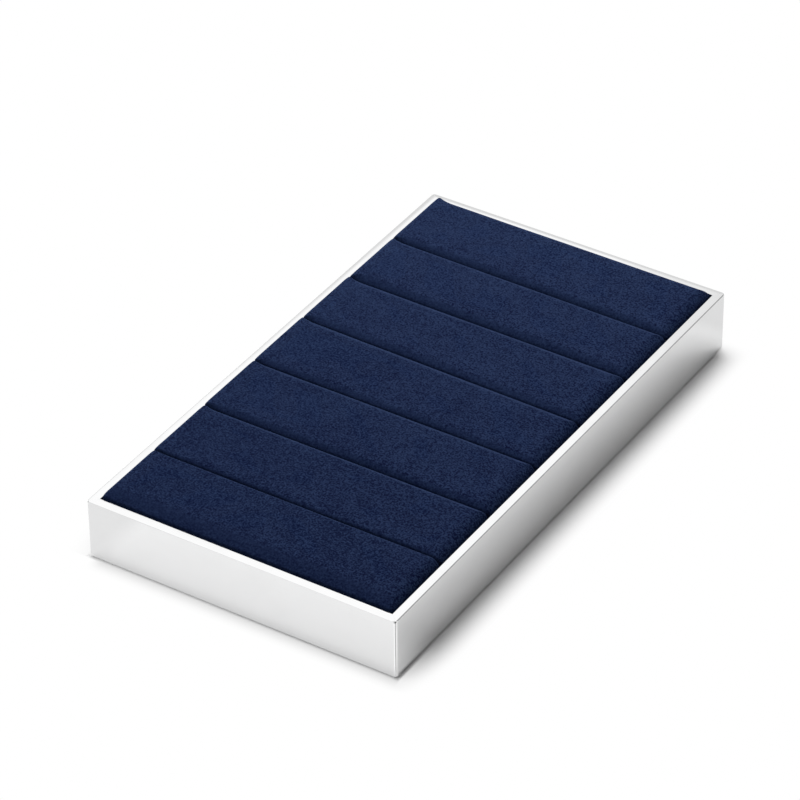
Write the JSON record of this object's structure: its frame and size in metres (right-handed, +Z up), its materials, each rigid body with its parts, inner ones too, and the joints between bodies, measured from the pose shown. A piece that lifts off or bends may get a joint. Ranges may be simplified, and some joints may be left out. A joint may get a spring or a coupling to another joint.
{
  "type": "ring display tray",
  "caption": "Low rectangular ring display tray: a polished metal frame with a felted base around a lift-out insert of navy suede pads whose slits grip finger rings.",
  "frame": {"origin": "on the counter, under the centre of the tray", "axes": "+X along the pads to the right, +Y across the pads to the back, +Z up"},
  "size_m": [0.101, 0.18, 0.0214],
  "materials": {
    "polished_metal": "polished",
    "plated_steel": "satin",
    "black_steel": "satin",
    "fibreboard": "matte",
    "black_felt": "matte",
    "greyboard": "matte",
    "pale_foam": "matte",
    "navy_suede": "matte"
  },
  "bodies": {
    "frame": {"front_rail": "polished_metal", "right_rail": "polished_metal", "back_rail": "polished_metal", "left_rail": "polished_metal", "corner_plate_front_left": "plated_steel", "corner_plate_front_right": "plated_steel", "corner_plate_back_right": "plated_steel", "corner_plate_back_left": "plated_steel", "screw_front_left_cross": "black_steel", "screw_front_left_side": "black_steel", "screw_front_right_cross": "black_steel", "screw_front_right_side": "black_steel", "screw_back_right_cross": "black_steel", "screw_back_right_side": "black_steel", "screw_back_left_cross": "black_steel", "screw_back_left_side": "black_steel", "base_board": "fibreboard", "underside_felt": "black_felt"},
    "insert": {"insert_board": "greyboard", "foam_core_1": "pale_foam", "foam_core_2": "pale_foam", "foam_core_3": "pale_foam", "foam_core_4": "pale_foam", "foam_core_5": "pale_foam", "foam_core_6": "pale_foam", "foam_core_7": "pale_foam", "suede_cover_1": "navy_suede", "suede_cover_2": "navy_suede", "suede_cover_3": "navy_suede", "suede_cover_4": "navy_suede", "suede_cover_5": "navy_suede", "suede_cover_6": "navy_suede", "suede_cover_7": "navy_suede"}
  },
  "joints": [
    {"name": "insert_lift", "type": "slide", "parent": "frame", "child": "insert", "axis": [0, 0, 1], "range_m": [0, 0.02]}
  ]
}
